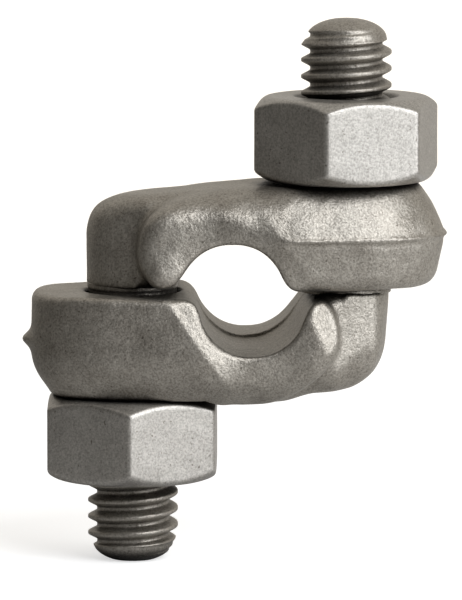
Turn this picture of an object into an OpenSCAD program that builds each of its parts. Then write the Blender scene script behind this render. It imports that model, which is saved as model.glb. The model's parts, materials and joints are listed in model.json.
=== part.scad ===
// Double-saddle wire rope clip: two identical forged saddles, each with an
// eye at one end and an integral threaded stud at the other, and two hex nuts.
// Each saddle's stud passes through the other saddle's eye and takes one nut.
// Frame: the rope runs along Y through the origin, the upper stud points to +Z
// at +X, and the lower stud points to -Z at -X.

/* [Studs] */
// Diameter over the thread crests
thread_d = 7.7; // [7.5:0.05:7.8]
// Thread pitch
thread_pitch = 1.411; // [1.25, 1.411, 1.5]
// Depth of the thread on one side
thread_depth = 0.8; // [0.5:0.05:0.85]
// Distance between the two stud axes
stud_spacing = 18.2; // [18:0.1:18.8]
// Distance from the rope's axis to a stud's tip
stud_reach = 23.4; // [22.5:0.1:25]

/* [Nuts] */
// Width of a nut across its flats
nut_flats = 14.3; // [14:0.05:14.6]
// Height of a nut
nut_h = 7.2; // [6.8:0.1:7.6]
// Radial clearance between a nut's bore and the thread crests
nut_clearance = 0.06; // [0.02:0.01:0.1]
// Turn of the upper nut about its stud
upper_nut_turn = 15; // [0:1:60]
// Turn of the lower nut about its stud
lower_nut_turn = 27; // [0:1:60]

/* [Saddles] */
// Radius of the rope seat
seat_r = 4.25; // [4:0.05:4.4]
// Gap between the saddles' facing planes when the rope seat is round
parting_gap = 0.5; // [0.4:0.05:1.2]
// Distance from the rope's axis to a nut's seat
nut_seat = 9.1; // [8.9:0.05:9.3]
// Largest radius of the eye's boss, at its mid height
boss_r = 8.5; // [8.2:0.05:8.6]
// Radius of the boss at its upper shoulder
boss_shoulder_r = 7.9; // [7.4:0.05:8]
// Radius of the boss at the nut's seat
boss_top_r = 6.3; // [6:0.05:6.6]
// Radius of the boss at the parting plane
boss_foot_r = 7.3; // [7:0.05:7.6]
// Radial clearance between the eye and the stud in it
eye_clearance = 0.35; // [0.2:0.05:0.5]
// Depth of the saddle along the rope, at its mid height
saddle_depth = 16.2; // [15.6:0.1:16.6]
// Depth of the saddle along the rope, at its upper shoulder
shoulder_depth = 15; // [14.4:0.1:15.4]
// Depth of the saddle along the rope, at its crest
crest_depth = 12.2; // [12:0.1:13]
// Depth of the saddle along the rope, at the parting plane
foot_depth = 14.8; // [14:0.1:15.4]
// Slope of the crest from the elbow up to the boss
crest_slope = 4.2; // [3:0.1:6]
// Width of the elbow above the stud, across the saddle
elbow_w = 8; // [7.8:0.1:8.4]
// Depth of the elbow along the rope
elbow_depth = 8.8; // [8.4:0.1:9.2]
// Rounding of the elbow's upright edges
elbow_edge_r = 2.4; // [2:0.1:3]
// Radius of the elbow's outer bend
bend_r = 3.2; // [2.6:0.1:3.6]
// Height of the flash ridge that the forging dies leave
flash_h = 0.5; // [0.3:0.1:0.7]
// How far the flash ridge stands proud of the boss
flash_proud = 0.2; // [0.1:0.05:0.3]

/* [Hidden] */
$fn = 96;
zinc = [0.62, 0.60, 0.56];
zinc_dark = [0.52, 0.50, 0.47];
stud_x = stud_spacing / 2;
crest_r = thread_d / 2;
root_r = crest_r - thread_depth;
foot_z = parting_gap / 2;
boss_mid_z = (nut_seat + foot_z) / 2;
boss_shoulder_z = nut_seat - 1.9;
shoulder_x = 8.4;                 // where the wide saddle narrows to the elbow
shoulder_r = 2.2;                 // plan rounding of that narrowing
crest_meets_seat_x = 6.2;         // where the sloping crest reaches the nut's seat
mouth_r = 1.3;                    // rounding of the seat's mouth on the boss side
seat_relief = 1.05;               // how far the seat is opened out towards the elbow
dome_h = 1.7;                     // height of the stud's rounded tip
ring_count = 11;                  // thread turns above the dome
shank_r = crest_r - 0.1;          // plain shank between the thread and the elbow
nut_bore_r = crest_r + nut_clearance;
nut_corner_r = nut_flats / 2 / cos(30);
nut_face_r = nut_flats / 2 - 0.3; // ring where the corner chamfer meets the nut's end
chamfer_angle = 33;
countersink = 0.5;
big = 60;

// Height of the sloping crest over a point of the X axis
function crest_z(x) = nut_seat - (crest_meets_seat_x - x) * tan(crest_slope);

// Points of an arc about a centre, from one angle to another
function arc(centre, r, from, to, steps = 12) = [
    for (i = [0:steps]) let (a = from + (to - from) * i / steps) centre + r * [cos(a), sin(a)]
];

// Extrudes a front outline (X, Z) along the rope, centred on the XZ plane
module along_rope(length) {
    rotate([90, 0, 0]) linear_extrude(height = length, center = true) children();
}

// Extrudes an end outline (Y, Z) along X, centred on the YZ plane
module along_saddle(length) {
    rotate([90, 0, 90]) linear_extrude(height = length, center = true) children();
}

// Front outline of the saddle: the outer bend, the sloping crest and the nut's seat
module saddle_front() {
    left = -stud_x - elbow_w / 2;
    bend_x = left + bend_r;
    bend_z = crest_z(bend_x) - bend_r / cos(crest_slope);
    polygon(concat(
        [[left, foot_z]],
        arc([bend_x, bend_z], bend_r, 180, 90 + crest_slope),
        [[crest_meets_seat_x, nut_seat], [stud_x, nut_seat], [stud_x, foot_z]]
    ));
}

// Plan of the wide part of the saddle, from its rounded shoulder to the boss
module saddle_plan() {
    inset = saddle_depth / 2 - shoulder_r;
    corner_x = -shoulder_x + shoulder_r;
    polygon(concat(
        [[stud_x, saddle_depth / 2]],
        arc([corner_x, inset], shoulder_r, 90, 180),
        arc([corner_x, -inset], shoulder_r, 180, 270),
        [[stud_x, -saddle_depth / 2]]
    ));
}

// Plan of the elbow over the stud, with rounded outer edges
module elbow_plan() {
    inset = elbow_depth / 2 - elbow_edge_r;
    edge_x = -stud_x - elbow_w / 2 + elbow_edge_r;
    polygon(concat(
        [[0, elbow_depth / 2]],
        arc([edge_x, inset], elbow_edge_r, 90, 180),
        arc([edge_x, -inset], elbow_edge_r, 180, 270),
        [[0, -elbow_depth / 2]]
    ));
}

// End outline of the saddle: widest at the flash line, drafted above and below
module saddle_end() {
    polygon([
        [-foot_depth / 2, foot_z], [foot_depth / 2, foot_z],
        [saddle_depth / 2, boss_mid_z], [shoulder_depth / 2, boss_shoulder_z],
        [crest_depth / 2, nut_seat], [-crest_depth / 2, nut_seat],
        [-shoulder_depth / 2, boss_shoulder_z], [-saddle_depth / 2, boss_mid_z]
    ]);
}

// Barrel-shaped boss around the eye, with the flash ridge at its mid height
module boss() {
    translate([stud_x, 0, 0]) rotate_extrude() polygon([
        [0, foot_z], [boss_foot_r, foot_z],
        [boss_r, boss_mid_z - flash_h / 2],
        [boss_r + flash_proud, boss_mid_z],
        [boss_r, boss_mid_z + flash_h / 2],
        [boss_shoulder_r, boss_shoulder_z],
        [boss_top_r, nut_seat], [0, nut_seat]
    ]);
}

// Takes off the corner between the seat and the parting plane on the boss side,
// leaving a rounding that touches both
module mouth_cut() {
    lift = foot_z + mouth_r;
    centre_x = sqrt(pow(seat_r + mouth_r, 2) - lift * lift);
    polygon(concat(
        [[0, -1], [centre_x, -1]],
        arc([centre_x, lift], mouth_r, 270, 180 + atan2(lift, centre_x)),
        [[0, lift * seat_r / (seat_r + mouth_r)]]
    ));
}

// Outline of one thread ring above z0: root flat, lower flank, crest flat, upper flank
function thread_ring(z0) = [
    [root_r, z0 + thread_pitch / 12], [crest_r, z0 + thread_pitch * 5 / 12],
    [crest_r, z0 + thread_pitch * 7 / 12], [root_r, z0 + thread_pitch * 11 / 12]
];

// Stud below the elbow: a domed tip, thread rings of the true size and pitch, a plain shank
module stud() {
    dome_z = -stud_reach + dome_h;
    rings_end = dome_z + ring_count * thread_pitch;
    translate([-stud_x, 0, 0]) rotate_extrude() polygon(concat(
        [[0, -stud_reach]],
        [for (a = [15:15:75]) [root_r * sin(a), dome_z - dome_h * cos(a)]],
        [for (i = [0:ring_count - 1]) each thread_ring(dome_z + i * thread_pitch)],
        [[shank_r, rings_end + thread_pitch / 2], [shank_r, foot_z + 1], [0, foot_z + 1]]
    ));
}

// One forged saddle in the upper position, with its stud pointing down
module saddle() {
    difference() {
        union() {
            intersection() {
                along_rope(big) saddle_front();
                along_saddle(big) saddle_end();
                linear_extrude(height = big) saddle_plan();
            }
            intersection() {
                along_rope(big) saddle_front();
                linear_extrude(height = big) elbow_plan();
            }
            boss();
        }
        for (x = [0, -seat_relief])
            translate([x, 0, 0]) rotate([90, 0, 0]) cylinder(r = seat_r, h = big, center = true);
        along_rope(big) mouth_cut();
        translate([stud_x, 0, -1]) cylinder(r = crest_r + eye_clearance, h = nut_seat + 2);
    }
    stud();
}

// One hex nut standing on z = 0, with chamfered corners and a countersunk bore
module hex_nut(turn) {
    clear_r = nut_corner_r + 0.5;
    rise = (clear_r - nut_face_r) * tan(chamfer_angle);
    difference() {
        intersection() {
            rotate([0, 0, turn]) cylinder(r = nut_corner_r, h = nut_h, $fn = 6);
            rotate_extrude() polygon([
                [0, 0], [nut_face_r, 0], [clear_r, rise],
                [clear_r, nut_h - rise], [nut_face_r, nut_h], [0, nut_h]
            ]);
        }
        translate([0, 0, -1]) cylinder(r = nut_bore_r, h = nut_h + 2);
        for (end = [0, 1])
            translate([0, 0, end * nut_h]) mirror([0, 0, end])
                translate([0, 0, -1]) cylinder(r1 = nut_bore_r + countersink + 1, r2 = nut_bore_r - 0.1,
                    h = countersink + 1.1);
    }
}

module upper_saddle() { color(zinc) saddle(); }
module lower_saddle() { color(zinc) rotate([0, 180, 0]) saddle(); }
module upper_nut() { color(zinc_dark) translate([stud_x, 0, nut_seat]) hex_nut(upper_nut_turn); }
module lower_nut() {
    color(zinc_dark) translate([-stud_x, 0, -nut_seat - nut_h]) hex_nut(lower_nut_turn);
}

upper_saddle();
lower_saddle();
upper_nut();
lower_nut();
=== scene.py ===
"""Looks of the double-saddle wire rope clip: forged saddles, threaded studs, nuts, zinc, light, camera."""

import json
import math

import bpy
import numpy as np
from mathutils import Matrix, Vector


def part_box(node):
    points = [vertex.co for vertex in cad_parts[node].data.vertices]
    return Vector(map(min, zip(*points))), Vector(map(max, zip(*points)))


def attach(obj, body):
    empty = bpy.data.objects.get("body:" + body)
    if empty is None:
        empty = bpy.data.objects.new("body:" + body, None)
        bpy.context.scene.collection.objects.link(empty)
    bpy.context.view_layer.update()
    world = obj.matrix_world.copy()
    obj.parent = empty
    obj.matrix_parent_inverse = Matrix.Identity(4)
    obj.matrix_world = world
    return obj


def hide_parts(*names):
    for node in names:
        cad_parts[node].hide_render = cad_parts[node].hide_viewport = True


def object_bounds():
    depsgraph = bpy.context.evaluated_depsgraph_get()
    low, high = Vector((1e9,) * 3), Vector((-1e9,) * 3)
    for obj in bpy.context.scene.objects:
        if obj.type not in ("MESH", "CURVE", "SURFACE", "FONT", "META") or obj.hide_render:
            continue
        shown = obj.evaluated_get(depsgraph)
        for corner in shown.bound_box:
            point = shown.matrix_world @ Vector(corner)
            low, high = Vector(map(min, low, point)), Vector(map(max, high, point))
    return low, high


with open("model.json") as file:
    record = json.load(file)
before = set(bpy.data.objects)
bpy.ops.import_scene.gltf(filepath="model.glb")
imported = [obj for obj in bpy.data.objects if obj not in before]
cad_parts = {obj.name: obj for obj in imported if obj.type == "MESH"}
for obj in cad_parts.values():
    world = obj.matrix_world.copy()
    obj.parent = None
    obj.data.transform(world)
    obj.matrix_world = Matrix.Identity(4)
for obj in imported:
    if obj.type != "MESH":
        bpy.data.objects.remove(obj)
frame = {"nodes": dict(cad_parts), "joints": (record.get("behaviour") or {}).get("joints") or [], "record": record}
cad_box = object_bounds()

# ---------------------------------------------------------------- sizes, in millimetres
MM = 0.001
JOINTS = {joint["name"]: joint for joint in frame["joints"]}
COUPLINGS = {c["joint"]: c for c in frame["record"]["behaviour"]["couplings"]}
MOUNTS = {mount["name"]: mount for mount in frame["record"]["mounts"]}

STUD_X = JOINTS["upper_nut_spin"]["pos_m"][0] / MM
PITCH = COUPLINGS["jaw_slide"]["ratio"] * 2 * math.pi / MM
SEAT_R = MOUNTS["rope_opening"]["dims"]["r_mm"]
NUT_LOW, NUT_HIGH = (corner.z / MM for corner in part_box("upper_nut"))
STUD_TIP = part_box("lower_saddle")[1].z / MM

CREST_R = 3.85              # over the thread crests
ROOT_R = 3.08               # at the thread roots
SHANK_R = 3.75              # plain shank inside the eye
SHANK_FLARE = 0.1           # widening of the shank at the elbow
RUN_OUT = (-6.4, -5.2)      # heights between which the thread fades into the shank
STUD_TOP = 0.5              # height where the stud ends, inside the elbow
DOME_R, DOME_H = 3.42, 1.7  # rounded tip of a stud
EYE_R = CREST_R + 0.22
FOOT_Z = -JOINTS["jaw_slide"]["range_m"][0] / MM / 2    # the saddles' feet meet at the slide's lower limit
FLASH_Z = 4.65              # height of the flash line on the boss
BOSS_R = 8.5
SEAT_SHIFT = 0.65           # the seat's axis lies this far towards the elbow
SEAT_RELIEF = 1.05          # and the seat is opened out this far
SPOT_FACE_R = 8.6           # flat that the nut seats on
NUT_CLEARANCE = 0.03        # between that flat and the nut
VOXEL = 0.19
NUT_VOXEL = 0.15
GRID_MARGIN = 0.9           # space left around a forging in its grid
NUT_MARGIN = 0.4
CHAMFER_ANGLE = math.radians(33)
ROUGHNESS = ((0.09, 4.2), (0.034, 1.8), (0.008, 0.8))   # depth and wavelength of dents, lumps and pits

# ---------------------------------------------------------------- stage and light, in metres
FLOOR_R = 0.4
FLOOR_BOUNCE = (0.3, 0.9)   # how much light the floor returns to the metal, at the left and at the right
FLOOR_BOUNCE_X = (-0.06, 0.03)
FLOOR_NEAR = 0.62           # share of that return close to the object's middle
FLOOR_NEAR_R = (0.012, 0.045)   # distances from that middle over which the share rises to 1
FLOOR_GREY = 0.85           # of the floor in the picture
FLOOR_GLOW = 0.6            # lifts it towards white
BRIGHT_SIDE = (0.35, 0.68, 0.58)    # direction that the surroundings are brightest in
COOL_WHITE = (0.94, 0.965, 1.0)
WARM_WHITE = (1, 0.95, 0.87, 1)


# ---------------------------------------------------------------- shape arithmetic
def smooth_max(a, b, k):
    """The larger of two distances, with the edge between them rounded over about k."""
    h = np.maximum(k - np.abs(a - b), 0) / k
    return np.maximum(a, b) + h * h * k / 4


def smooth_min(a, b, k):
    """The smaller of two distances, with a fillet of about k where they meet."""
    return -smooth_max(-a, -b, k)


def ramp(x, low, high):
    """0 below low, 1 above high, smooth between."""
    t = np.clip((x - low) / (high - low), 0, 1)
    return t * t * (3 - 2 * t)


def facet(u, z, start, end):
    """Distance outside the line from start to end, which has the solid on its left."""
    du, dz = end[0] - start[0], end[1] - start[1]
    return ((u - start[0]) * dz - (z - start[1]) * du) / math.hypot(du, dz)


def lattice_noise(points, wavelength, seed):
    """Smooth random values from -1 to 1 that vary over about one wavelength."""
    size = 32
    table = np.random.RandomState(seed).uniform(-1, 1, (size, size, size))
    q = points / wavelength + 1000.0
    cell = np.floor(q).astype(int)
    t = q - cell
    t = t * t * (3 - 2 * t)
    total = np.zeros(len(points))
    for corner in np.ndindex(2, 2, 2):
        weight = np.ones(len(points))
        for axis, step in enumerate(corner):
            weight = weight * (t[:, axis] if step else 1 - t[:, axis])
        i, j, k = ((cell + corner) % size).T
        total += weight * table[i, j, k]
    return total


# ---------------------------------------------------------------- from a distance field to a mesh
def surface_net(field, low, high, step):
    """Vertices and quads of the surface where field is 0, one vertex for each grid cell it crosses."""
    axes = [np.arange(a, b + step, step) for a, b in zip(low, high)]
    grid = np.stack(np.meshgrid(*axes, indexing="ij"), -1)
    value = field(grid.reshape(-1, 3)).reshape(grid.shape[:3])
    inside = value < 0
    cells = tuple(n - 1 for n in inside.shape)
    total = np.zeros(cells + (3,))
    count = np.zeros(cells)
    crossings = []
    for axis in range(3):
        near = [slice(None)] * 3
        far = [slice(None)] * 3
        near[axis], far[axis] = slice(0, -1), slice(1, None)
        near, far = tuple(near), tuple(far)
        at = np.argwhere(inside[near] != inside[far])
        a = value[near][tuple(at.T)]
        b = value[far][tuple(at.T)]
        point = grid[near][tuple(at.T)]
        point[:, axis] += step * a / (a - b)
        others = [k for k in range(3) if k != axis]
        ring = []
        for shift in ((0, 0), (1, 0), (1, 1), (0, 1)):
            cell = at.copy()
            cell[:, others[0]] -= shift[0]
            cell[:, others[1]] -= shift[1]
            np.add.at(total, tuple(cell.T), point)
            np.add.at(count, tuple(cell.T), 1)
            ring.append(cell)
        starts_inside = inside[near][tuple(at.T)]
        crossings.append((ring, starts_inside ^ (axis == 1)))
    used = np.argwhere(count > 0)
    number = -np.ones(cells, int)
    number[tuple(used.T)] = np.arange(len(used))
    points = total[tuple(used.T)] / count[tuple(used.T)][:, None]
    quads = []
    for ring, outward in crossings:
        corners = np.stack([number[tuple(cell.T)] for cell in ring], 1)
        corners[~outward] = corners[~outward][:, ::-1]
        quads.append(corners)
    return settle(field, points, step), np.concatenate(quads)


def gradient(field, points, reach=0.02):
    """Unit normals of the field at the points, and its slope there."""
    slope = np.stack([
        field(points + reach * axis) - field(points - reach * axis) for axis in np.eye(3)
    ], 1) / (2 * reach)
    size = np.linalg.norm(slope, axis=1, keepdims=True)
    return slope / np.maximum(size, 1e-6), np.maximum(size[:, 0], 0.2)


def settle(field, points, step):
    """Moves the points onto the surface, by at most half a step each time."""
    for _ in range(3):
        normal, size = gradient(field, points)
        move = np.clip(field(points) / size, -step / 2, step / 2)
        points = points - normal * move[:, None]
    return points


def make_mesh(name, points, faces):
    """A smooth-shaded object from points in millimetres."""
    mesh = bpy.data.meshes.new(name)
    mesh.from_pydata((points * MM).tolist(), [], [tuple(face) for face in faces])
    mesh.shade_smooth()
    mesh.update()
    piece = bpy.data.objects.new(name, mesh)
    bpy.context.scene.collection.objects.link(piece)
    return piece


# ---------------------------------------------------------------- forged saddle
class Saddle:
    """One saddle in the upper position: eye at +X, elbow and stud at -X."""

    # Each side runs through four points (distance from the middle, height): foot, flash line, shoulder, top
    boss_side = ((7.5, 0.4), (8.5, FLASH_Z), (7.65, 7.2), (6.2, 8.8))
    boss_rounding = 1.2
    arch_side = ((8.2, 0.4), (8.35, FLASH_Z), (8.3, 7.2), (6.9, 8.8))
    arch_rounding = 1.4
    squareness = 2.6                            # of the boss's plan: 2 is round
    taper = 0.018                               # how fast the boss narrows towards its end
    ridge_x = 6.7                               # foot of the ridge between the boss and the arch
    ridge_lean = math.radians(35.6)             # of that ridge, towards the arch
    ridge_step = (0.15, 0.4)                    # slope and depth of the step from the boss in to the arch
    nose = ((7.4, 0.2), (8.9, 2.8), (8.4, 6.6), (6.0, 8.8))   # end beside the elbow, as (-x, z)
    nose_rounding = 1.5
    knuckle = 0.6                               # how far that end bulges
    knuckle_place, knuckle_r = (-7.0, 1.2), 2.0  # middle of the bulge, as (x, z), and its radius
    crest_z = 8.75                              # height of the crest over the rope's axis
    slope = math.radians(4.3)                   # of the crest, down towards the elbow
    end_x = -13.25                              # outer side of the elbow
    end_draft = 0.0                             # lean of that side
    elbow_half = 4.5                            # half the elbow's width where its wedge starts
    wedge_x = 8.6                               # where the wedge starts, towards the outer side
    wedge = math.radians(20)                    # turn of each of its faces
    corner_half = 3.5                           # half the elbow's width at its outer corners
    corner_turn = math.radians(65)              # turn of the faces that cut those corners
    corner_x = 11.9                             # where the elbow's front turns to its outer side
    corner_rounding = 1.6
    bend = 3.3                                  # rounding of the elbow's outer bend
    belly, belly_drop = 0.0, 1.6                # how far the crest swells, and its drop after that
    foot_rounding = 1.5                         # of the boss at the parting plane
    flash = 0.22                                # how far the flash ridge stands out of the boss
    burr = 0.0                                  # height of the burr at the boss's end
    burr_z, burr_size = 4.4, (1.7, 0.62)        # its place, and its half width and half height
    wear = 0.0                                  # depth of the worn step in the rope's seat
    facets = ()                                 # planes that trim the forging: (normal, distance, rounding)
    stud_extra = 0.3                            # how much longer the stud is than in CAD
    thread_phase = 0.0                          # turns by which its thread is started later

    def drafted(self, u, z, line, rounding):
        """Side of the forging at distance u from its middle: drafted both ways from the flash line."""
        foot, waist, shoulder, top = line
        side = smooth_max(facet(u, z, foot, waist), facet(u, z, waist, shoulder), 0.35)
        return smooth_max(side, facet(u, z, shoulder, top), rounding)

    def wide(self, x, y, z):
        """Block around the eye that runs on as an arch over the rope, stepped in where the arch starts."""
        ahead = np.maximum(x - STUD_X, 0)
        depth = np.abs(y) * (1 + self.taper * smooth_max(x - 4.5, 0, 2)) * 1.05
        rho = (ahead ** self.squareness + depth ** self.squareness) ** (1 / self.squareness)
        past_ridge = (self.ridge_x - x) * math.cos(self.ridge_lean) - z * math.sin(self.ridge_lean)
        past_ridge = np.maximum(past_ridge, 0)
        slope, drop = self.ridge_step
        step = smooth_min(slope * past_ridge, drop, drop) + 0.05 * past_ridge
        swell = 0.35 * ramp(-x, 3, 6) + self.knuckle_bulge(x, z)
        u = rho + step - swell
        at_boss = self.drafted(u, z, self.boss_side, self.boss_rounding) - self.flash_ledge(x, z)
        at_arch = self.drafted(u, z, self.arch_side, self.arch_rounding)
        share = ramp(past_ridge, 0, 3)
        side = at_boss * (1 - share) + at_arch * share
        a, b, c, d = self.nose
        end = smooth_max(facet(-x, z, a, b), facet(-x, z, b, c), 0.8)
        end = smooth_max(end, facet(-x, z, c, d), 1.6)
        width, height = self.burr_size
        burr = self.burr * bump(y / width, (z - self.burr_z) / height) * ramp(x, 14, 16)
        return smooth_max(side, end, self.nose_rounding) - burr

    def knuckle_bulge(self, x, z):
        """Swelling of the arch's end beside the elbow."""
        at_x, at_z = self.knuckle_place
        return self.knuckle * bump((x - at_x) / self.knuckle_r, (z - at_z) / self.knuckle_r)

    def flash_ledge(self, x, z):
        """Thin ridge with a groove under it, fading out towards the arch."""
        height = self.flash * ramp(x, 2.5, 5.5)
        return height * (bump(0, (z - FLASH_Z) / 0.22) - 0.25 * bump(0, (z - FLASH_Z + 0.42) / 0.25))

    def elbow(self, x, depth, z):
        """Upright column over the stud, wedge-shaped in plan, with a rounded outer side."""
        past_wedge = np.maximum(-x - self.wedge_x, -0.6)
        front = (depth - self.elbow_half) * math.cos(self.wedge) + past_wedge * math.sin(self.wedge)
        corner = (depth - self.corner_half) * math.cos(self.corner_turn)
        corner = corner + (-x - self.corner_x) * math.sin(self.corner_turn)
        column = smooth_max(front, corner, self.corner_rounding)
        column = smooth_max(column, self.end_x + self.end_draft * z - x, 1.2)
        return np.maximum(column, x)

    def underside(self, x, y, z):
        """Parting plane, with the rope's seat hollowed out of it: a worn step, then deeper to the front."""
        forward = -y - 0.3 * x
        worn_step = 0.3 * ramp(forward, -0.9, -0.5)
        worn_slope = 0.7 * np.clip((forward + 0.7) / 8, 0, 1)
        low = np.maximum(z - self.wear * (worn_step + worn_slope), 0)
        reach = np.minimum(np.hypot(x + SEAT_SHIFT, low), np.hypot(x + SEAT_RELIEF, low))
        mouth = 0.8 + 0.8 * ramp(x, 0, 4) + 1.6 * ramp(-x, 2, 4)
        return smooth_max(FOOT_Z - z, SEAT_R - reach, mouth)

    def __call__(self, p):
        """Distance outside the forging, about true near its surface."""
        x, y, z = p.T
        outline = smooth_min(self.wide(x, y, z), self.elbow(x, np.abs(y), z), 0.7)
        swell = self.belly * ramp(-x, -1, 2.5) * (1 - self.belly_drop * ramp(-x, 3.5, 6.5))
        crest = (z - self.crest_z - swell) * math.cos(self.slope) - x * math.sin(self.slope)
        from_eye = np.hypot(x - STUD_X, y)
        spot_face = np.minimum(z - NUT_LOW + NUT_CLEARANCE, SPOT_FACE_R - from_eye)
        bend = self.bend + (2.5 - self.bend) * ramp(x, -11, -7) - 1.0 * ramp(x, 0, 6)
        body = smooth_max(smooth_max(outline, crest, bend), spot_face, 0.4)
        edge = 0.5 + (self.foot_rounding - 0.5) * ramp(x, 4, 6.5)
        edge = edge + 0.7 * ramp(-x, 5, 6.5) - 0.9 * ramp(-x, 8.4, 9.1)
        body = smooth_max(body, self.underside(x, y, z), edge)
        for normal, distance, rounding in self.facets:
            body = smooth_max(body, p @ np.array(normal) - distance, rounding)
        return smooth_max(body, EYE_R - from_eye, 0.3)


class LowerSaddle(Saddle):
    """The lower one came out of the dies fuller, with a burr, trimmed faces and a worn seat."""

    boss_side = ((8.5, 0.4), (8.75, FLASH_Z), (8.75, 6.5), (6.9, 9.2))
    boss_rounding = 0.9
    arch_side = ((8.2, 0.4), (8.5, FLASH_Z), (8.5, 6.8), (7.1, 9.6))
    arch_rounding = 1.6
    taper = 0.024
    ridge_step = (0.42, 0.32)
    nose = ((7.2, 0.2), (8.4, 3.3), (8.3, 5.2), (5.0, 8.8))
    nose_rounding = 1.3
    knuckle = 0.0
    crest_z = 9.6
    end_x = -12.95
    end_draft = 0.06
    corner_x = 11.6
    corner_rounding = 0.5
    bend = 4.4
    belly = 0.3
    foot_rounding = 0.9
    flash = 0.0
    burr = 0.75
    wear = 0.85
    facets = (((-0.45, -0.86, -0.24), 8.62, 0.15),)
    stud_extra = -0.5
    thread_phase = 0.21


def bump(u, v):
    """Round hill of height 1 and radius about 1."""
    return np.exp(-u * u - v * v)


def stud_points(tip, phase):
    """Rings of a stud from just above its domed tip, up into the elbow, with a right-hand thread."""
    columns = 112
    rows_per_mm = 12
    angle = np.linspace(0, 2 * math.pi, columns, endpoint=False)
    z = np.arange(-tip, STUD_TOP, 1 / rows_per_mm)[1:]
    zz, aa = np.meshgrid(z, angle, indexing="ij")
    radius = thread_radius(zz, aa, phase)
    height = zz + tip
    cap = DOME_R * np.sqrt(np.clip(1 - (1 - np.clip(height / DOME_H, 0, 1)) ** 2, 0, 1))
    lead_in = np.where(height < DOME_H, cap, DOME_R + (height - DOME_H) * 0.75)
    radius = np.minimum(radius, lead_in)
    fade = ramp(zz, *RUN_OUT)
    flare = SHANK_FLARE * ramp(zz, -0.2, 0.1)
    radius = radius * (1 - fade) + (SHANK_R + flare) * fade
    return np.stack([radius * np.cos(aa), radius * np.sin(aa), zz], -1)


def thread_radius(z, angle, phase):
    """Radius of a right-hand external thread with rounded crests and roots."""
    turn = (z / PITCH - angle / (2 * math.pi) + phase) % 1.0
    slope = np.clip((np.abs(turn - 0.5) - 0.09) / 0.32, 0, 1)
    flank = slope * slope * (3 - 2 * slope) * 0.35 + slope * 0.65
    return CREST_R - (CREST_R - ROOT_R) * flank


def lathe_mesh(points, tip):
    """Vertices and faces of rings around Z, closed by a fan to the tip and a flat one at the top."""
    rings, turns = points.shape[:2]
    flat = points.reshape(-1, 3)
    first = [0, 0, -tip]
    last = flat[-turns:].mean(0)
    vertices = np.vstack([flat, first, last])
    faces = []
    for i in range(rings - 1):
        for j in range(turns):
            k = (j + 1) % turns
            faces.append((i * turns + j, i * turns + k, (i + 1) * turns + k, (i + 1) * turns + j))
    for j in range(turns):
        k = (j + 1) % turns
        faces.append((rings * turns, k, j))
        faces.append((rings * turns + 1, (rings - 1) * turns + j, (rings - 1) * turns + k))
    return vertices, faces


def rough(points, normal, seed, strength=1.0):
    """Dents and pits of a hammered, dipped forging, along the normals."""
    height = np.zeros(len(points))
    for layer, (depth, wavelength) in enumerate(ROUGHNESS):
        height += depth * lattice_noise(points, wavelength, seed + layer)
    return points + normal * (strength * height)[:, None]


def make_saddle(name, shape, upper, seed):
    """A saddle with its stud as one object, in the upper or the lower position."""
    low = np.array([shape.end_x - 0.6, -BOSS_R - GRID_MARGIN, FOOT_Z - 0.5])
    high = np.array([STUD_X + BOSS_R + 1, BOSS_R + GRID_MARGIN, NUT_LOW + GRID_MARGIN])
    points, quads = surface_net(shape, low, high, VOXEL)
    normal, _ = gradient(shape, points)
    seats_nut = ramp(points[:, 2], NUT_LOW - 0.5, NUT_LOW - 0.1) * ramp(points[:, 0], 1, 3)
    in_eye = np.hypot(points[:, 0] - STUD_X, points[:, 1]) < EYE_R + 0.3
    # smooth under the nut, and nearly so in the eye
    roughened = (1 - seats_nut) * np.where(in_eye, 0.2, 1.0)
    points = points + (rough(points, normal, seed) - points) * roughened[:, None]
    points = points if upper else points * [-1, 1, -1]

    tip = STUD_TIP + shape.stud_extra
    stud_vertices, stud_faces = lathe_mesh(stud_points(tip, shape.thread_phase), tip)
    stud_vertices[:, 0] -= STUD_X
    if not upper:
        stud_vertices = stud_vertices * [-1, 1, -1]
    offset = len(points)
    faces = [tuple(q) for q in quads] + [tuple(i + offset for i in f) for f in stud_faces]
    return make_mesh(name, np.vstack([points, stud_vertices]), faces)


# ---------------------------------------------------------------- nut
def flats_of(node):
    """Half the width across flats of a CAD nut, and the direction of one flat, in degrees."""
    axis = JOINTS[node + "_spin"]["pos_m"]
    xy = np.array([(v.co.x - axis[0], v.co.y - axis[1]) for v in frame["nodes"][node].data.vertices]) / MM
    angles = np.radians(np.arange(0, 60, 0.25))
    reach = [(xy @ (math.cos(a), math.sin(a))).max() for a in angles]
    best = int(np.argmin(reach))
    return reach[best], math.degrees(angles[best])


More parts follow.
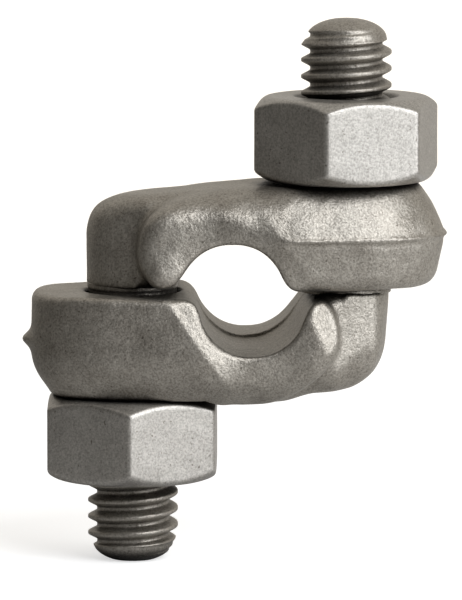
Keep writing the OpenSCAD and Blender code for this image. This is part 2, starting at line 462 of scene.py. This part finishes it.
class Nut:
    """Heavy hex nut about the Z axis, from z = 0 to its height, with an internal thread."""

    corner_rounding = 0.28
    edge_rounding = 0.3
    chamfer_rounding = 0.22
    face_inset = 0.35                           # from the flats in to the round face inside the chamfer
    thread_play = 0.09
    countersink = 0.62                          # radius of the bore's mouth over the thread crests
    mouth_rounding = 0.15

    def __init__(self, half_flats, turn, height, phase):
        self.half_flats, self.turn, self.height, self.phase = half_flats, turn, height, phase

    def __call__(self, p):
        """Distance outside the nut, about true near its surface."""
        x, y, z = p.T
        angle = np.arctan2(y, x)
        radius = np.hypot(x, y)
        sides = None
        for i in range(6):
            a = math.radians(self.turn + 60 * i)
            side = x * math.cos(a) + y * math.sin(a) - self.half_flats
            sides = side if sides is None else smooth_max(sides, side, self.corner_rounding)
        ends = np.abs(z - self.height / 2) - self.height / 2
        past_face = radius - self.half_flats + self.face_inset
        cone = past_face * math.sin(CHAMFER_ANGLE) + ends * math.cos(CHAMFER_ANGLE)
        body = smooth_max(smooth_max(sides, ends, self.edge_rounding), cone, self.chamfer_rounding)
        bore = thread_radius(z, angle, self.phase) + self.thread_play - radius
        sink = (CREST_R + self.countersink - radius + ends) * math.sqrt(0.5)
        bore = smooth_max(bore, sink, self.mouth_rounding)
        return smooth_max(body, bore, self.mouth_rounding)


def make_nut(name, base_z, phase, seed):
    """A nut around its stud; the phase lines its thread up with the stud's."""
    half_flats, turn = flats_of(name)
    axis_x = JOINTS[name + "_spin"]["pos_m"][0] / MM
    height = NUT_HIGH - NUT_LOW
    shape = Nut(half_flats, turn, height, phase)
    reach = half_flats / math.cos(math.pi / 6) + NUT_MARGIN
    low = np.array([-reach, -reach, -NUT_MARGIN])
    high = np.array([reach, reach, height + NUT_MARGIN])
    points, quads = surface_net(shape, low, high, NUT_VOXEL)
    normal, _ = gradient(shape, points)
    outside = np.hypot(points[:, 0], points[:, 1]) > CREST_R + 0.7
    points = points + (rough(points, normal, seed, 0.25) - points) * outside[:, None]
    points = points + [axis_x, 0, base_z]
    return make_mesh(name, points, quads)


# ---------------------------------------------------------------- materials
def nodes_of(material):
    """Nodes, links and main shader of a material."""
    material.use_nodes = True
    tree = material.node_tree
    return tree.nodes, tree.links, tree.nodes["Principled BSDF"]


def noise(nodes, links, vector, scale, detail, roughness):
    """Cloudy values around 0.5 that change about scale times in each unit of the vector."""
    n = nodes.new("ShaderNodeTexNoise")
    n.inputs["Scale"].default_value = scale
    n.inputs["Detail"].default_value = detail
    n.inputs["Roughness"].default_value = roughness
    links.new(vector, n.inputs["Vector"])
    return n.outputs["Fac"]


def color_ramp(nodes, links, factor, stops):
    """Colour for a factor, blended between (position, colour) stops."""
    r = nodes.new("ShaderNodeValToRGB")
    elements = r.color_ramp.elements
    while len(elements) < len(stops):
        elements.new(0.5)
    for element, (position, color) in zip(elements, stops):
        element.position = position
        element.color = (*color, 1)
    links.new(factor, r.inputs["Fac"])
    return r.outputs["Color"]


def multiply(nodes, links, a, b):
    """Product of two colours."""
    m = nodes.new("ShaderNodeMix")
    m.data_type = "RGBA"
    m.blend_type = "MULTIPLY"
    m.inputs[0].default_value = 1.0
    links.new(a, m.inputs[6])
    links.new(b, m.inputs[7])
    return m.outputs[2]


def map_range(nodes, links, value, source, target, smooth=False):
    """The value taken from the source range to the target range, and held at its ends."""
    node = nodes.new("ShaderNodeMapRange")
    node.interpolation_type = "SMOOTHSTEP" if smooth else "LINEAR"
    node.inputs["From Min"].default_value, node.inputs["From Max"].default_value = source
    node.inputs["To Min"].default_value, node.inputs["To Max"].default_value = target
    links.new(value, node.inputs["Value"])
    return node.outputs["Result"]


def math_node(nodes, links, operation, a, b, c=None):
    """Result of a math node; each input is a number or a socket."""
    node = nodes.new("ShaderNodeMath")
    node.operation = operation
    for socket, value in zip(node.inputs, (a, b, c)):
        if isinstance(value, (int, float)):
            socket.default_value = value
        elif value is not None:
            links.new(value, socket)
    return node.outputs[0]


def crevice(nodes, links, depth):
    """Near 0 in gaps narrower than depth (m), 1 in the open."""
    shade = nodes.new("ShaderNodeAmbientOcclusion")
    shade.samples = 4
    shade.inputs["Distance"].default_value = depth
    return shade.outputs["AO"]


def zinc_material(name, light, dark, roughness, bump_height, grain_contrast):
    """Dull hot-dip zinc: blotches, fine grain, painted shade in the crevices, and a bumpy skin."""
    material = bpy.data.materials.new(name)
    nodes, links, shader = nodes_of(material)
    position = nodes.new("ShaderNodeTexCoord").outputs["Object"]
    scale = nodes.new("ShaderNodeVectorMath")
    scale.operation = "SCALE"
    scale.inputs["Scale"].default_value = 1 / MM
    links.new(position, scale.inputs[0])
    mm = scale.outputs["Vector"]
    blotch = noise(nodes, links, mm, 0.4, 5.0, 0.65)
    base = color_ramp(nodes, links, blotch, [(0.32, dark), (0.68, light)])
    low = 1 - grain_contrast
    grain = noise(nodes, links, mm, 5.5, 3.0, 0.75)
    tint = color_ramp(nodes, links, grain, [(0.35, (low, low, low * 0.99)), (0.62, (1, 1, 1))])
    base = multiply(nodes, links, base, tint)
    pits = color_ramp(nodes, links, noise(nodes, links, mm, 3.5, 2.0, 0.5),
                      [(0.27, (0.5, 0.48, 0.46)), (0.33, (1, 1, 1))])
    base = multiply(nodes, links, base, pits)
    # painted shade: the base colour goes nearly black where ambient occlusion finds narrow gaps, thread roots and
    # creases
    painted_crevice_shade = color_ramp(nodes, links, crevice(nodes, links, 2.5 * MM),
                      [(0.25, (0.08, 0.074, 0.068)), (0.7, (1, 1, 1))])
    base = multiply(nodes, links, base, painted_crevice_shade)
    links.new(base, shader.inputs["Base Color"])
    shader.inputs["Metallic"].default_value = 0.85
    dullness = math_node(nodes, links, "MULTIPLY_ADD", blotch, 0.2, roughness - 0.1)
    links.new(dullness, shader.inputs["Roughness"])
    fine = noise(nodes, links, mm, 5.5, 2.0, 0.5)
    coarse = noise(nodes, links, mm, 0.9, 2.0, 0.5)
    skin = nodes.new("ShaderNodeBump")
    skin.inputs["Distance"].default_value = bump_height * MM
    links.new(math_node(nodes, links, "MULTIPLY_ADD", coarse, 3.0, fine), skin.inputs["Height"])
    links.new(skin.outputs["Normal"], shader.inputs["Normal"])
    return material


def camera_switch(nodes, links, others, camera):
    """A value that differs between the camera's own rays and all others."""
    path = nodes.new("ShaderNodeLightPath")
    value = nodes.new("ShaderNodeMix")
    value.data_type = "FLOAT"
    value.inputs[3].default_value = camera
    if isinstance(others, float):
        value.inputs[2].default_value = others
    else:
        links.new(others, value.inputs[2])
    links.new(path.outputs["Is Camera Ray"], value.inputs[0])
    return value.outputs[0]


def floor_material():
    """Pale and matt, and clear from below; it throws less light at the metal than it shows the camera."""
    material = bpy.data.materials.new("pale_floor")
    nodes, links, shader = nodes_of(material)
    shader.inputs["Roughness"].default_value = 1.0
    shader.inputs["Specular IOR Level"].default_value = 0.0
    shade = nodes.new("ShaderNodeCombineColor")
    place = nodes.new("ShaderNodeTexCoord").outputs["Object"]
    across = nodes.new("ShaderNodeSeparateXYZ")
    links.new(place, across.inputs[0])
    bounce = map_range(nodes, links, across.outputs["X"], FLOOR_BOUNCE_X, FLOOR_BOUNCE)
    length = nodes.new("ShaderNodeVectorMath")
    length.operation = "LENGTH"
    links.new(place, length.inputs[0])
    clear = map_range(nodes, links, length.outputs["Value"], FLOOR_NEAR_R, (FLOOR_NEAR, 1))
    dimmed = math_node(nodes, links, "MULTIPLY", bounce, clear)
    value = camera_switch(nodes, links, dimmed, FLOOR_GREY)
    for channel in shade.inputs:
        links.new(value, channel)
    links.new(shade.outputs[0], shader.inputs["Base Color"])
    shader.inputs["Emission Color"].default_value = (1, 1, 1, 1)
    links.new(camera_switch(nodes, links, 0.0, FLOOR_GLOW), shader.inputs["Emission Strength"])
    fade_range = (0.1 * FLOOR_R, 0.95 * FLOOR_R)
    fade = map_range(nodes, links, length.outputs["Value"], fade_range, (1, 0), smooth=True)
    seen_from_below = nodes.new("ShaderNodeNewGeometry").outputs["Backfacing"]
    from_above = math_node(nodes, links, "SUBTRACT", 1.0, seen_from_below)
    alpha = math_node(nodes, links, "MULTIPLY", fade, from_above)
    links.new(alpha, shader.inputs["Alpha"])
    return material


# ---------------------------------------------------------------- stage, light, camera
def make_stage(floor_z):
    """A pale round floor that fades into the white around it."""
    rim = [(FLOOR_R * math.cos(math.radians(a)), FLOOR_R * math.sin(math.radians(a)), floor_z)
           for a in range(0, 360, 5)]
    mesh = bpy.data.meshes.new("floor")
    mesh.from_pydata(rim, [], [tuple(range(len(rim)))])
    floor = bpy.data.objects.new("floor", mesh)
    bpy.context.scene.collection.objects.link(floor)
    floor.data.materials.append(floor_material())


def direction(azimuth, elevation):
    """Unit vector towards an azimuth (0 is the viewer's side, 90 the right) and elevation."""
    a, e = math.radians(azimuth), math.radians(elevation)
    return Vector((math.sin(a) * math.cos(e), -math.cos(a) * math.cos(e), math.sin(e)))


def softbox(name, azimuth, elevation, distance, size, power):
    """A square area light that looks at the object."""
    light = bpy.data.lights.new(name, "AREA")
    light.shape = "SQUARE"
    light.size = size
    light.energy = power
    light.color = COOL_WHITE
    lamp = bpy.data.objects.new(name, light)
    away = direction(azimuth, elevation)
    lamp.location = away * distance
    lamp.rotation_mode = "QUATERNION"
    lamp.rotation_quaternion = away.to_track_quat("Z", "Y")
    bpy.context.scene.collection.objects.link(lamp)


def make_world(seen, dark, bright):
    """White to the camera; to the object, dark in front and at the left, brighter behind and right."""
    world = bpy.data.worlds.new("studio")
    bpy.context.scene.world = world
    world.use_nodes = True
    nodes, links = world.node_tree.nodes, world.node_tree.links
    background = nodes["Background"]
    side = nodes.new("ShaderNodeVectorMath")
    side.operation = "DOT_PRODUCT"
    side.inputs[1].default_value = BRIGHT_SIDE
    links.new(nodes.new("ShaderNodeTexCoord").outputs["Generated"], side.inputs[0])
    level = map_range(nodes, links, side.outputs["Value"], (-0.1, 0.8), (dark, bright), smooth=True)
    links.new(camera_switch(nodes, links, level, seen), background.inputs["Strength"])
    background.inputs["Color"].default_value = WARM_WHITE


def make_camera(azimuth, elevation, distance, frame_height, aim):
    """A long lens that frames frame_height (m) around aim."""
    data = bpy.data.cameras.new("camera")
    data.sensor_width = 36
    data.lens = 36 * distance / frame_height
    data.clip_start, data.clip_end = 0.05, 10
    camera = bpy.data.objects.new("camera", data)
    away = direction(azimuth, elevation)
    camera.location = Vector(aim) + away * distance
    camera.rotation_mode = "QUATERNION"
    camera.rotation_quaternion = away.to_track_quat("Z", "Y")
    bpy.context.scene.collection.objects.link(camera)
    bpy.context.scene.camera = camera


# ---------------------------------------------------------------- build
forged = zinc_material("forged_zinc", light=(0.54, 0.505, 0.45), dark=(0.40, 0.368, 0.322),
                       roughness=0.43, bump_height=0.034, grain_contrast=0.48)
plated = zinc_material("nut_zinc", light=(0.58, 0.555, 0.515), dark=(0.50, 0.475, 0.44),
                       roughness=0.38, bump_height=0.007, grain_contrast=0.42)

upper = make_saddle("upper_saddle_forging", Saddle(), upper=True, seed=11)
lower = make_saddle("lower_saddle_forging", LowerSaddle(), upper=False, seed=47)
upper_nut = make_nut("upper_nut", NUT_LOW, 0.5 - LowerSaddle.thread_phase + NUT_LOW / PITCH, 71)
lower_nut = make_nut("lower_nut", -NUT_HIGH, -NUT_HIGH / PITCH, 83)
upper_nut.name, lower_nut.name = "upper_hex_nut", "lower_hex_nut"

for piece, node, body, material, slot in (
    (upper, "upper_saddle", "upper_jaw", forged, "forged_zinc"),
    (lower, "lower_saddle", "lower_jaw", forged, "forged_zinc"),
    (upper_nut, "upper_nut", "upper_nut", plated, "nut_zinc"),
    (lower_nut, "lower_nut", "lower_nut", plated, "nut_zinc"),
):
    piece.data.materials.append(material)
    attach(piece, body)
    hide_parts(node)

make_stage(cad_box[0].z)
softbox("key", azimuth=47, elevation=13, distance=0.6, size=0.42, power=2.1)
softbox("top", azimuth=32, elevation=46, distance=0.6, size=0.34, power=1.6)
make_world(seen=1.25, dark=0.11, bright=0.58)
make_camera(azimuth=-2, elevation=7.2, distance=0.45, frame_height=0.0512, aim=(-0.0007, 0, -0.0012))
bpy.context.scene.view_settings.view_transform = "Standard"
